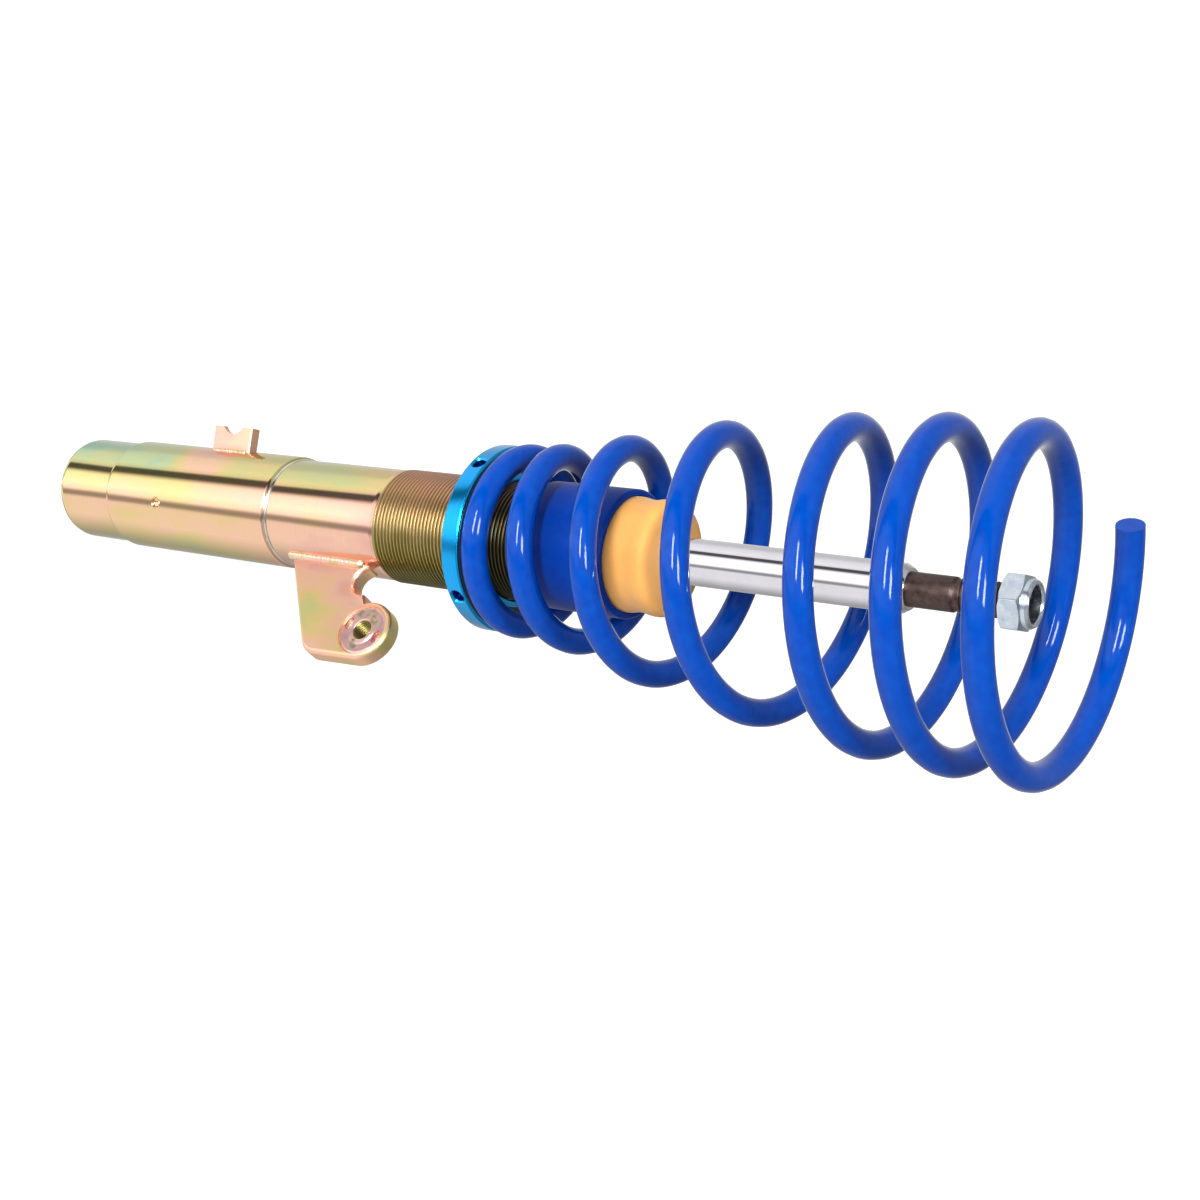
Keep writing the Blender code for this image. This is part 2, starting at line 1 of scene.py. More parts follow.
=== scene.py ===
# %% [markdown]
# # A height-adjustable suspension strut
# The strut stands on its lower end.  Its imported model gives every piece's place
# and the bodies that move, so this lesson only makes the fine surfaces: the
# machined housing with its rolled thread, the pressed bracket, the anodised
# collar, the coated spring, the foam stop and the chromed rod.
# Each step says what the piece is, how it could be made, and why this way was
# chosen.  All sizes are millimetres and mm() turns them into metres.

# %% Load the frame
import json
import math

import bmesh
import bpy
from mathutils import Matrix, Vector


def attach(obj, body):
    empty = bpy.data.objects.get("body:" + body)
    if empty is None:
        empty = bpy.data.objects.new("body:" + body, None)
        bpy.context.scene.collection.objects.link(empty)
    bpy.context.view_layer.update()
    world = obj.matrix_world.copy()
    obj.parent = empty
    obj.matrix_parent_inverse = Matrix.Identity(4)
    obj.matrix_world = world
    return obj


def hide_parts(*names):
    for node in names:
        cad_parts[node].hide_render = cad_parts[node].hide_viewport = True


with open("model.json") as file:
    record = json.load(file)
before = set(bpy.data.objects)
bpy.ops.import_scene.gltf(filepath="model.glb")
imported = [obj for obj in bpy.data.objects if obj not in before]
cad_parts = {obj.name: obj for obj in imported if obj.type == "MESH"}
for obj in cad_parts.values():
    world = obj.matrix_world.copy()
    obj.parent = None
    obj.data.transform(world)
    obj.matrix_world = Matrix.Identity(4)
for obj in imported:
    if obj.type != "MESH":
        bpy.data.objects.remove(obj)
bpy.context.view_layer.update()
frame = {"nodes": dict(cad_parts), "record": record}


def mm(value):
    """Millimetres to metres."""
    return value * 0.001


# %% [markdown]
# ## The camera
# A long lens well off to the side keeps the strut's two ends nearly the same
# scale.  The camera is rolled so that the standing strut lies across the
# picture, its lower end at the left, and it looks down on the floor.
# A camera could be aimed with a Track To constraint, but that can't hold a roll.
# So its three directions are written straight into its matrix.

# %% Camera
CAMERA_PLACE = Vector((0.0215, -0.6312, 0.7525))
CAMERA_RIGHT = Vector((-0.1427, 0.5479, 0.8243))
CAMERA_UP = Vector((-0.9898, -0.0790, -0.1188))
CAMERA_BACK = CAMERA_RIGHT.cross(CAMERA_UP).normalized()

camera = bpy.data.objects.new("camera", bpy.data.cameras.new("camera"))
camera.data.lens = 52.29
camera.data.sensor_width = 36.0
camera.data.clip_start, camera.data.clip_end = 0.01, 60.0
camera_turn = Matrix((CAMERA_RIGHT, CAMERA_UP, CAMERA_BACK)).transposed()
camera.matrix_world = Matrix.Translation(CAMERA_PLACE) @ camera_turn.to_4x4()
bpy.context.scene.collection.objects.link(camera)
bpy.context.scene.camera = camera
bpy.context.scene.view_settings.view_transform = "Standard"
print("camera looks along", [round(-x, 3) for x in CAMERA_BACK])


# %% [markdown]
# ## Shader maths as Python
# A node tree can be wired by hand, but long sums are easier to read as sums.
# Socket wraps a node's output, so that `a * 2 + b` makes the Math nodes for it.
# Colours and vectors don't go through Math nodes, which would turn them grey:
# mix() and the vector nodes are for those.

# %% Socket
class Socket:
    """A node's output that Python's operators can be used on."""

    def __init__(self, tree, link):
        self.tree, self.link = tree, link

    def math(self, operation, *values):
        return node(self.tree, "ShaderNodeMath", {"operation": operation},
                    dict(enumerate(values)))

    def __add__(self, other):
        return self.math("ADD", self, other)

    def __sub__(self, other):
        return self.math("SUBTRACT", self, other)

    def __rsub__(self, other):
        return self.math("SUBTRACT", other, self)

    def __mul__(self, other):
        return self.math("MULTIPLY", self, other)

    def __truediv__(self, other):
        return self.math("DIVIDE", self, other)

    __radd__ = __add__
    __rmul__ = __mul__


def node(tree, kind, settings=None, values=None, output=0):
    """Make one node: its settings first, then its sockets' values or links."""
    made = tree.nodes.new(kind)
    for key, value in (settings or {}).items():
        if key == "stops":
            ramp = made.color_ramp
            while len(ramp.elements) < len(value):
                ramp.elements.new(0.5)
            for index, (place, colour) in enumerate(value):
                ramp.elements[index].position = place
                ramp.elements[index].color = colour
        else:
            setattr(made, key, value)
    for key, value in (values or {}).items():
        if isinstance(value, Socket):
            tree.links.new(value.link, made.inputs[key])
        else:
            made.inputs[key].default_value = value
    return Socket(tree, made.outputs[output]) if made.outputs else None


def split(tree, vector):
    """A vector's three numbers."""
    first = node(tree, "ShaderNodeSeparateXYZ", values={0: vector})
    return [Socket(tree, output) for output in first.link.node.outputs]


def grey(level):
    return (level, level, level, 1.0)


def tint(red, green, blue):
    """A colour in 0 to 255 screen values, as the linear colour that shaders use."""
    return (*((c / 255) ** 2.2 for c in (red, green, blue)), 1.0)


print("mid grey on screen is", round(tint(128, 128, 128)[0], 3), "in a shader")


# %% [markdown]
# ## Studio light
# Polished tubes show their surroundings as long bands, so the light is made of
# bands too: tall softboxes standing round the strut, with darker gaps between.
# They could be area lights, but their edges would then shift from piece to
# piece.  A world that changes with the compass direction gives the same clean
# bands on every round piece.  The bands' strength is a ramp over that direction,
# measured in degrees from -Y towards +X.  Two small boxes, one low and one high,
# draw thin streaks on the spring's wire.  They are many times brighter than the
# bands, because the wire's clear coat sends back little of what it sees.

# %% Softboxes round the strut
SOFTBOXES = (   # degrees from -Y towards +X, strength
    (-180, 0.66), (-150, 0.72), (-122, 0.70), (-106, 0.78), (-96, 0.98), (-66, 1.15),
    (-56, 1.00), (-52, 0.10), (-40, 0.10), (-36, 0.75), (-30, 1.45), (-6, 1.7), (9, 1.4),
    (15, 0.50), (19, 0.34), (24, 0.42), (30, 1.02), (72, 1.02), (90, 0.84), (110, 0.62),
    (130, 0.46), (150, 0.42), (168, 0.48), (180, 0.66),
)
STRONGEST = 1.7

world = bpy.data.worlds.new("studio")
bpy.context.scene.world = world
world.use_nodes = True
sky = world.node_tree
sky.nodes.clear()
east, north, up = split(sky, node(sky, "ShaderNodeTexCoord"))
bearing = east.math("ARCTAN2", east, north * -1.0) * (180.0 / math.pi)
height = up.math("ARCSINE", up) * (180.0 / math.pi)
bands = node(sky, "ShaderNodeValToRGB", {"stops": [
    ((angle + 180) / 360, grey(strength / STRONGEST)) for angle, strength in SOFTBOXES]},
    {0: bearing / 360.0 + 0.5})


def fade(value, low, high):
    """0 below low and 1 above high, with a soft change between."""
    return node(value.tree, "ShaderNodeMapRange", {"interpolation_type": "SMOOTHSTEP"},
                {0: value, 1: low, 2: high})


def window(value, centre, half, edge):
    """1 within half of centre, and 0 beyond its soft edge."""
    away = value - centre
    return 1.0 - fade(away.math("ABSOLUTE", away), half, half + edge)


STREAK_BEARING, STREAK_HALF_WIDTH = -12.0, 9.0
STREAKS = ((14.0, 3.5, 3.0, 42.0), (58.0, 5.0, 4.0, 36.0))   # height, half, edge, strength
low_box, high_box = (window(height, *box[:3]) * box[3] for box in STREAKS)
streak_boxes = window(bearing, STREAK_BEARING, STREAK_HALF_WIDTH, 5.0) * (low_box + high_box)
upper_share = 1.0 - fade(height, -12.0, 12.0) * 0.45
backdrop = node(sky, "ShaderNodeBackground", values={
    0: grey(1.0), 1: bands * STRONGEST * upper_share + streak_boxes})
node(sky, "ShaderNodeOutputWorld", values={0: backdrop})
print("softbox bands:", len(SOFTBOXES))


# %% [markdown]
# ## Floor
# A plain pale floor that is lit evenly, as white paper lit from below is in a
# product studio.  It could be lit by lamps alone, but then the strut would drop
# a hard shadow.  A little glow of its own washes most of the shadow out.  The
# metal doesn't mirror it, so the softboxes' bands run down to the strut's foot.

# %% Floor
floor_mesh = bmesh.new()
bmesh.ops.create_grid(floor_mesh, x_segments=1, y_segments=1, size=20.0)
floor_data = bpy.data.meshes.new("floor")
floor_mesh.to_mesh(floor_data)
floor_mesh.free()
floor = bpy.data.objects.new("floor", floor_data)
bpy.context.scene.collection.objects.link(floor)
floor.visible_glossy = floor.visible_diffuse = floor.visible_shadow = False
paper = bpy.data.materials.new("studio_paper")
paper.use_nodes = True
paper_shader = paper.node_tree.nodes["Principled BSDF"]
paper_shader.inputs["Base Color"].default_value = grey(0.25)
paper_shader.inputs["Roughness"].default_value = 0.9
paper_shader.inputs["Emission Color"].default_value = grey(1.0)
paper_shader.inputs["Emission Strength"].default_value = 0.9
floor_data.materials.append(paper)
print("floor is", 40, "m across")


# %% [markdown]
# ## A finish
# Every surface is one Principled shader.  What is the same all over, such as
# how glossy a coat is, is set on its socket.  What changes over the surface is
# fed from noise or from the place on the strut, in metres from its foot.

# %% Finish
class Finish:
    """A material, its node tree and its Principled shader."""

    def __init__(self, name, **constants):
        self.material = bpy.data.materials.new(name)
        self.material.use_nodes = True
        self.tree = self.material.node_tree
        self.shader = self.tree.nodes["Principled BSDF"]
        for key, value in constants.items():
            self.shader.inputs[key.replace("_", " ")].default_value = value
        self.place = node(self.tree, "ShaderNodeTexCoord", output=3)

    def feed(self, socket, value):
        self.tree.links.new(value.link, self.shader.inputs[socket])

    def noise(self, scale, stretch=(1.0, 1.0, 1.0), detail=2.0, rough=0.5):
        """Noise from 0 to 1, with a scale in features per metre."""
        spot = node(self.tree, "ShaderNodeMapping", {"vector_type": "POINT"},
                    {0: self.place, 3: tuple(scale * s for s in stretch)})
        return node(self.tree, "ShaderNodeTexNoise",
                    values={"Vector": spot, "Scale": 1.0, "Detail": detail, "Roughness": rough})

    def ramp(self, value, *stops):
        return node(self.tree, "ShaderNodeValToRGB", {"stops": stops}, {0: value})

    def mix(self, share, first, second):
        return node(self.tree, "ShaderNodeMix", {"data_type": "RGBA"},
                    {0: share, 6: first, 7: second}, output=2)

    def bump(self, height, depth, strength=1.0):
        self.feed("Normal", node(self.tree, "ShaderNodeBump", values={
            "Height": height, "Distance": mm(depth), "Strength": strength}))


print("Finish ready")


# %% [markdown]
# ## Yellow zinc
# The housing is turned steel with a yellow-passivated zinc plating.  The film is
# thinner than a wavelength of light, so its colour drifts from green through
# gold and peach to pink as its thickness changes.  A single colour would look
# like brass.  Here the film's thickness is a number, made of a slow drift along
# and across the strut and of soft streaks, and a ramp turns it into a colour.
# Turned steel also has fine rings round it, which are noise along Z alone.

# %% Yellow zinc
FILM_COLOURS = (
    (0.00, tint(156, 200, 178)), (0.14, tint(196, 212, 160)), (0.28, tint(214, 210, 144)),
    (0.42, tint(234, 208, 140)), (0.56, tint(246, 202, 160)), (0.70, tint(250, 198, 172)),
    (0.84, tint(240, 182, 166)), (0.93, tint(238, 184, 136)), (1.00, tint(212, 172, 98)),
)


def yellow_zinc(name, patches, rings, roughness, film_at):
    """Plating whose film is film_at(x, z) with soft patches laid over it."""
    zinc = Finish(name, Metallic=1.0)
    x, _, z = split(zinc.tree, zinc.place)
    streaks = zinc.noise(30.0, (1.0, 1.0, 0.5), 3.0, 0.55)
    fine = zinc.noise(85.0, (1.0, 1.0, 0.3), 2.0)
    film = film_at(x, z) + (streaks - 0.5) * patches + (fine - 0.5) * (0.4 * patches)
    colour = zinc.ramp(film, *FILM_COLOURS)
    turned = zinc.noise(1.0, (0.0, 0.0, 1400.0), 3.0, 0.7)
    zinc.feed("Base Color", zinc.mix((turned - 0.5) * rings + rings * 0.2, colour, grey(0.25)))
    zinc.feed("Roughness", turned * 0.08 + (roughness - 0.04))
    zinc.bump(turned + zinc.noise(900.0) * 0.4, 0.012, 0.5)
    return zinc.material


def tube_film(x, z):
    """Green-gold on the -X side, peach to pink in front, gold again low on the +X side."""
    front_side = fade(x, -0.0165, -0.007)
    low_edge = fade(x, 0.014, 0.026) * (1.0 - fade(z, 0.12, 0.19))
    pink_patch = window(z, 0.098, 0.006, 0.02) * (1.0 - front_side) * 0.42
    return 0.13 + z * 0.95 + front_side * (0.30 + z * 0.62) + pink_patch - low_edge * 0.20


def bracket_film(x, _):
    """Peach and pink, with gold coming through in the patches."""
    return 0.62 + x * 0.6


TUBE_ZINC = yellow_zinc("yellow_zinc_turned", 0.85, 0.4, 0.10, tube_film)
PRESSED_ZINC = yellow_zinc("yellow_zinc_pressed", 1.9, 0.0, 0.40, bracket_film)
print("yellow zinc film colours:", len(FILM_COLOURS))


# %% [markdown]
# ## Darker zinc
# The rolled thread has the same plating. It is painted olive-brown and darker than the tube, as painted
# shade for the shadow between its flanks.
# Its colour is also painted darker towards the +X side, as painted side shade. Its upper end, where the
# spring's first coils stand round it, is painted nearly black as painted shade.  The bright ring that was
# machined over the welded seam is nearly bare steel, and the weld beads and the weld nut have pale, pinkish
# films.

# %% Thread zinc and bare ring
thread_zinc = Finish("yellow_zinc_thread", Metallic=1.0)
x, _, z = split(thread_zinc.tree, thread_zinc.place)
# Painted shade: the thread's colour runs from pinkish-brown to dark olive towards +X, standing in for the
# shading on that side.
painted_side_shade = x * 18.0 + 0.5 + (thread_zinc.noise(60.0) - 0.5) * 0.3
plating = thread_zinc.ramp(
    painted_side_shade, (0.0, tint(214, 164, 138)), (0.3, tint(192, 162, 122)), (0.55, tint(182, 164, 118)),
    (0.75, tint(150, 138, 80)), (1.0, tint(120, 110, 64)))
# Painted shade: from 262 mm up the thread is mixed towards near-black, standing in for the shadow between
# the spring's first coils.
painted_shade_under_coils = fade(z, 0.262, 0.296) * 0.8
thread_zinc.feed("Base Color", thread_zinc.mix(painted_shade_under_coils, plating, tint(44, 42, 38)))
thread_zinc.feed("Roughness", thread_zinc.noise(400.0) * 0.15 + 0.24)
THREAD_ZINC = thread_zinc.material

bare = Finish("machined_seam", Metallic=1.0)
bare.feed("Base Color", bare.ramp(bare.noise(90.0), (0.3, tint(196, 190, 182)),
                                  (0.7, tint(236, 226, 214))))
bare.feed("Roughness", bare.noise(700.0) * 0.1 + 0.12)
MACHINED_SEAM = bare.material

weld = Finish("weld_bead", Metallic=1.0)
weld.feed("Base Color", weld.ramp(weld.noise(160.0, detail=3.0), (0.25, tint(206, 196, 140)),
                                  (0.5, tint(240, 208, 182)), (0.75, tint(242, 196, 186))))
weld.feed("Roughness", weld.noise(500.0) * 0.2 + 0.30)
weld.bump(weld.noise(620.0, detail=3.0), 0.15, 0.6)
WELD_BEAD = weld.material

nut_zinc = Finish("yellow_zinc_nut", Metallic=1.0)
nut_zinc.feed("Base Color", nut_zinc.ramp(nut_zinc.noise(150.0, detail=3.0), (0.3, tint(150, 146, 104)),
                                          (0.45, tint(232, 196, 184)), (0.7, tint(222, 160, 176))))
nut_zinc.feed("Roughness", nut_zinc.noise(500.0) * 0.2 + 0.25)
WELD_NUT = nut_zinc.material
print("thread, seam and weld finishes ready")


# %% [markdown]
# ## Plain metals
# Each is a metal with a narrow spread of greys and a trace of how it was made:
# polished chrome, silver zinc, ground steel, black oxide, aluminium and bronze.

# %% Plain metals
def plain_metal(name, dark, light, scale, stretch, roughness, spread, depth=0.01):
    """A metal whose grey and gloss vary a little between two colours."""
    metal = Finish(name, Metallic=1.0)
    grain = metal.noise(scale, stretch, 3.0, 0.6)
    metal.feed("Base Color", metal.ramp(grain, (0.25, dark), (0.75, light)))
    metal.feed("Roughness", grain * spread + (roughness - spread / 2))
    metal.bump(grain, depth, 0.4)
    return metal.material


EVEN = (1.0, 1.0, 1.0)
ROUND_Z = (0.02, 0.02, 1.0)
CHROME = plain_metal("hard_chrome", tint(214, 212, 218), tint(224, 222, 228), 60.0, EVEN,
                     0.05, 0.02, 0.002)
SILVER_ZINC = plain_metal("silver_zinc", tint(176, 190, 206), tint(222, 228, 236), 260.0, EVEN,
                          0.22, 0.12, 0.02)
BLACK_OXIDE = plain_metal("black_oxide", tint(66, 54, 54), tint(104, 88, 84), 300.0, EVEN,
                          0.42, 0.16, 0.03)
BRIGHT_STEEL = plain_metal("bright_steel", tint(150, 150, 153), tint(198, 198, 200), 900.0,
                           ROUND_Z, 0.32, 0.14)
DARK_STEEL = plain_metal("dark_steel", tint(62, 62, 66), tint(92, 92, 96), 500.0, EVEN, 0.38, 0.14)
ALUMINIUM = plain_metal("aluminium", tint(190, 191, 194), tint(222, 223, 226), 900.0, ROUND_Z, 0.34, 0.14)
BRONZE = plain_metal("bronze_bush", tint(140, 104, 66), tint(188, 146, 98), 900.0, ROUND_Z, 0.40, 0.14)
print("plain metals ready")


# %% [markdown]
# ## Colours
# The collar is aluminium under a clear cyan dye, so it stays a metal.  The
# spring's powder coat is deep blue with a glass-like top, slightly wavy as
# powder is where it flowed.  The sleeve is moulded in a similar blue and is
# duller.  The bump stop is foamed polyurethane with a skin full of tiny pores.

# %% Coloured finishes
anodised = Finish("cyan_anodised", Metallic=1.0, Coat_Weight=0.35, Coat_Roughness=0.08)
grain = anodised.noise(1.0, (60.0, 60.0, 2600.0), 3.0, 0.6)
anodised.feed("Base Color", anodised.ramp(grain, (0.25, tint(0, 158, 234)), (0.75, tint(6, 172, 246))))
anodised.feed("Roughness", grain * 0.10 + 0.17)
anodised.bump(grain, 0.01, 0.4)
CYAN_ANODISED = anodised.material

powder = Finish("blue_powder_coat", Roughness=0.30, Specular_IOR_Level=0.0, Coat_Weight=1.0,
                Coat_Roughness=0.02, Coat_IOR=1.3)
flow = powder.noise(240.0, detail=1.0)
powder.feed("Base Color", powder.ramp(flow, (0.2, tint(0, 60, 150)), (0.8, tint(0, 70, 162))))
powder.bump(flow, 0.05, 0.35)
POWDER_COAT = powder.material

sleeve_blue = Finish("blue_sleeve", Specular_IOR_Level=0.08)
moulded = sleeve_blue.noise(300.0, detail=2.0)
sleeve_blue.feed("Base Color", sleeve_blue.ramp(moulded, (0.2, tint(0, 52, 140)), (0.8, tint(0, 60, 152))))
sleeve_blue.feed("Roughness", moulded * 0.1 + 0.33)
sleeve_blue.bump(moulded, 0.04, 0.5)
SLEEVE_BLUE = sleeve_blue.material

foam = Finish("yellow_foam", Specular_IOR_Level=0.35, Sheen_Weight=0.15)
pores = foam.noise(1500.0, detail=3.0, rough=0.7)
clouds = foam.noise(45.0, detail=3.0)
foam.feed("Base Color", foam.mix(pores * 0.35, foam.ramp(
    clouds, (0.3, tint(230, 162, 82)), (0.7, tint(242, 178, 96))), tint(208, 138, 62)))
foam.feed("Roughness", pores * 0.2 + 0.48)
foam.bump(pores, 0.12, 0.5)
YELLOW_FOAM = foam.material


def dark_polymer(name, level, roughness):
    """Black rubber or nylon, with a faint bloom."""
    polymer = Finish(name)
    bloom = polymer.noise(220.0, detail=3.0)
    polymer.feed("Base Color", polymer.ramp(bloom, (0.3, grey(level)), (0.7, grey(level * 1.8))))
    polymer.feed("Roughness", bloom * 0.15 + roughness)
    polymer.bump(bloom, 0.03, 0.5)
    return polymer.material


SEAL_RUBBER = dark_polymer("seal_rubber", 0.012, 0.55)
BLACK_PLASTIC = dark_polymer("black_plastic", 0.014, 0.40)
print("coloured finishes ready")


# %% [markdown]
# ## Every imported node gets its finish
# The record names a material slot for each node.  Pieces that stay as they were
# packed, such as the valve parts inside, take that slot's finish directly.

# %% Finish by slot
SLOT_FINISH = {
    "yellow_zinc": PRESSED_ZINC, "silver_zinc": SILVER_ZINC, "chrome": CHROME,
    "bright_steel": BRIGHT_STEEL, "dark_steel": DARK_STEEL, "aluminium": ALUMINIUM,
    "bronze_bush": BRONZE, "seal_rubber": SEAL_RUBBER, "black_plastic": BLACK_PLASTIC,
    "cyan_anodised": CYAN_ANODISED, "blue_powder_coat": POWDER_COAT,
    "blue_sleeve": SLEEVE_BLUE, "yellow_foam": YELLOW_FOAM,
}
node_slot = {row["node"]: row["material_slot"] for row in frame["record"]["subparts"]}
for name, packed in frame["nodes"].items():
    packed = bpy.data.objects[packed] if isinstance(packed, str) else packed
    if not packed.material_slots:
        packed.data.materials.append(None)
    for holder in packed.material_slots:
        holder.material = SLOT_FINISH[node_slot[name]]
print("packed nodes with a finish:", len(node_slot))


# %% [markdown]
# ## Turning and finishing
# Most of the strut is turned on a lathe, and so are the meshes: an outline is
# drawn from the axis outwards and spun.  A modeller could bevel the edges after
# spinning, but rounding the outline's corners first costs nothing and keeps the
# rings even.  piece() hands a finished mesh to its body.

# %% Lathe
SMOOTH_ANGLE = math.radians(34)


def rounded(outline, radius=0.4, steps=4, closed=True):
    """Replace an outline's corners by short curves."""
    points = [Vector(point) for point in outline]
    result = []
    for index, corner in enumerate(points):
        if not closed and index in (0, len(points) - 1):
            result.append(corner)
            continue
        before = points[index - 1] - corner
        after = points[(index + 1) % len(points)] - corner
        if abs(before.angle(after) - math.pi) < 0.15:
            result.append(corner)
            continue
        start = corner + before.normalized() * min(radius, 0.45 * before.length)
        end = corner + after.normalized() * min(radius, 0.45 * after.length)
        for step in range(steps + 1):
            part = step / steps
            result.append(start * (1 - part) ** 2 + corner * (2 * part * (1 - part)) + end * part ** 2)
    return result


def lathe(outline, segments=160, closed=True):
    """Spin an outline of (radius, height) round Z.  An open one starts and ends on the axis."""
    bm = bmesh.new()
    verts = [bm.verts.new((mm(r), 0.0, mm(z))) for r, z in outline]
    edges = [bm.edges.new(pair) for pair in zip(verts, verts[1:])]
    if closed:
        edges.append(bm.edges.new((verts[-1], verts[0])))
    bmesh.ops.spin(bm, geom=verts + edges, cent=(0, 0, 0), axis=(0, 0, 1),
                   angle=2.0 * math.pi, steps=segments, use_merge=True)
    bmesh.ops.remove_doubles(bm, verts=bm.verts, dist=mm(0.003))
    bmesh.ops.recalc_face_normals(bm, faces=bm.faces)
    return bm


def piece(name, bm, body, material, slot, *nodes, place=None):
    """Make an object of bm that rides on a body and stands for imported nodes."""
    if place is not None:
        bmesh.ops.transform(bm, matrix=place, verts=bm.verts)
    mesh = bpy.data.meshes.new(name)
    bm.to_mesh(mesh)
    bm.free()
    mesh.shade_smooth()
    mesh.set_sharp_from_angle(angle=SMOOTH_ANGLE)
    mesh.materials.append(material)
    obj = bpy.data.objects.new(name, mesh)
    bpy.context.scene.collection.objects.link(obj)
    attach(obj, body)
    if nodes:
        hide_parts(*nodes)
    print(f"{name}: {len(mesh.polygons)} faces on {body}")
    return obj


def baked(obj):
    """The object's mesh with its modifiers applied."""
    graph = bpy.context.evaluated_depsgraph_get()
    return bpy.data.meshes.new_from_object(obj.evaluated_get(graph))


def cut(obj, tool, operation="DIFFERENCE"):
    """Cut obj with the closed mesh in tool, and keep the result as its mesh."""
    bmesh.ops.recalc_face_normals(tool, faces=tool.faces)
    mesh = bpy.data.meshes.new("tool")
    tool.to_mesh(mesh)
    tool.free()
    mesh.shade_smooth()
    cutter = bpy.data.objects.new("tool", mesh)
    bpy.context.scene.collection.objects.link(cutter)
    change = obj.modifiers.new("cut", "BOOLEAN")
    change.operation, change.object = operation, cutter
    done = baked(obj)
    obj.modifiers.remove(change)
    obj.data = done
    bpy.data.objects.remove(cutter)
    done.set_sharp_from_angle(angle=SMOOTH_ANGLE)
    return obj


def drill(radius, length, place, segments=48, end_radius=None):
    """A solid rod as long as length, centred on place and along its Z."""
    bm = bmesh.new()
    bmesh.ops.create_cone(bm, cap_ends=True, segments=segments, radius1=mm(radius),
                          radius2=mm(radius if end_radius is None else end_radius),
                          depth=mm(length), matrix=place)
    return bm


def bits(outline, places, segments=48):
    """The same turned cutting bit at several places, as one mesh."""
    bm = lathe(outline, segments, closed=False)
    first = bm.verts[:] + bm.edges[:] + bm.faces[:]
    for place in places[1:]:
        copy = bmesh.ops.duplicate(bm, geom=first)["geom"]
        bmesh.ops.transform(bm, matrix=place,
                            verts=[v for v in copy if isinstance(v, bmesh.types.BMVert)])
    bmesh.ops.transform(bm, matrix=places[0], verts=[v for v in first if isinstance(v, bmesh.types.BMVert)])
    return bm


def at(x, y, z):
    """A shift by millimetres."""
    return Matrix.Translation((mm(x), mm(y), mm(z)))


def turn(degrees, axis):
    """A turn about one of the origin's axes."""
    return Matrix.Rotation(math.radians(degrees), 4, axis)


print("lathe ready")


# %% [markdown]
# ## Lower tube
# The clamp of the wheel carrier grips this tube.  It was turned in one setting:
# a rolled-in rim, a slightly smaller end, a small step, and a long plain
# seat up to the seam.  A short drilled spot sets the strut's angle in the clamp.

# %% Lower tube
BORE_R = 23.6
END_R, END_Z = 26.0, 39.6
BODY_R, SEAM_Z = 27.5, 152.0

lower_outline = rounded([
    (BORE_R, 0.0), (END_R - 2.2, 0.0), (END_R - 0.6, 1.3), (END_R, 3.4), (END_R, END_Z - 1.5),
    (BODY_R - 0.25, END_Z - 0.2), (BODY_R, END_Z + 0.8), (BODY_R, SEAM_Z - 1.7),
    (BODY_R - 0.9, SEAM_Z - 0.7), (BODY_R - 1.6, SEAM_Z - 0.5), (BORE_R, SEAM_Z - 0.5)], 0.5)
lower_tube = piece("lower_tube_fine", lathe(lower_outline, 224), "housing", TUBE_ZINC,
                   "yellow_zinc", "lower_tube")
SPOT_Z, SPOT_DEG = 76.4, 9.8
spot = turn(SPOT_DEG - 90.0, "Z") @ at(BODY_R, 0.0, SPOT_Z) @ turn(90, "Y")
cut(lower_tube, bits([(0.0, -1.9), (1.4, -1.75), (2.3, -1.2), (2.35, -0.5), (3.1, 0.1), (3.1, 0.9),
                      (0.0, 0.9)], [spot], 40))
print("spot drilled at", SPOT_Z, "mm up")


# %% [markdown]
# ## Upper tube and its thread
# The collar screws up and down a 2 mm thread on the upper tube.  A bump map could
# fake it, but the thread's outline shows against the light.  So its ridge is a
# closed outline swept up one turn of a helix.  The turn is copied upwards, which
# is much quicker than sweeping them all, and sunk a little into a plain core.

# %% Threaded tube
TUBE_R = 26.2
THREAD_R, THREAD_Z, THREAD_PITCH = 26.75, 219.7, 2.0
TUBE_TOP_Z = 325.0


def thread_ridge(bm, outline, bottom, top, pitch, steps):
    """Sweep a ridge's outline up one turn of a helix, stack the turns, and close both ends."""
    verts = [bm.verts.new((mm(r), 0.0, mm(bottom + z))) for r, z in outline]
    edges = [bm.edges.new((verts[k - 1], verts[k])) for k in range(len(verts))]
    bmesh.ops.spin(bm, geom=verts + edges, cent=(0, 0, 0), axis=(0, 0, 1),
                   dvec=(0, 0, mm(pitch / steps)), angle=2.0 * math.pi, steps=steps)
    first = bm.verts[:] + bm.edges[:] + bm.faces[:]
    turns = int((top - bottom) / pitch)
    for count in range(1, turns):
        copy = bmesh.ops.duplicate(bm, geom=first)["geom"]
        bmesh.ops.translate(bm, vec=(0.0, 0.0, mm(pitch * count)),
                            verts=[item for item in copy if isinstance(item, bmesh.types.BMVert)])
    bmesh.ops.remove_doubles(bm, verts=bm.verts, dist=mm(0.004))
    bmesh.ops.holes_fill(bm, edges=[edge for edge in bm.edges if edge.is_boundary], sides=12)
    bmesh.ops.recalc_face_normals(bm, faces=bm.faces)
    return turns


def outer_ridge(crest, depth, pitch):
    """A rolled thread's ridge: a flat crest and two flanks that run into the core."""
    root = crest - depth - 0.3
    return [(root, -0.46 * pitch), (crest - 0.06, -0.17 * pitch), (crest, -0.11 * pitch),
            (crest, 0.11 * pitch), (crest - 0.06, 0.17 * pitch), (root, 0.46 * pitch)]


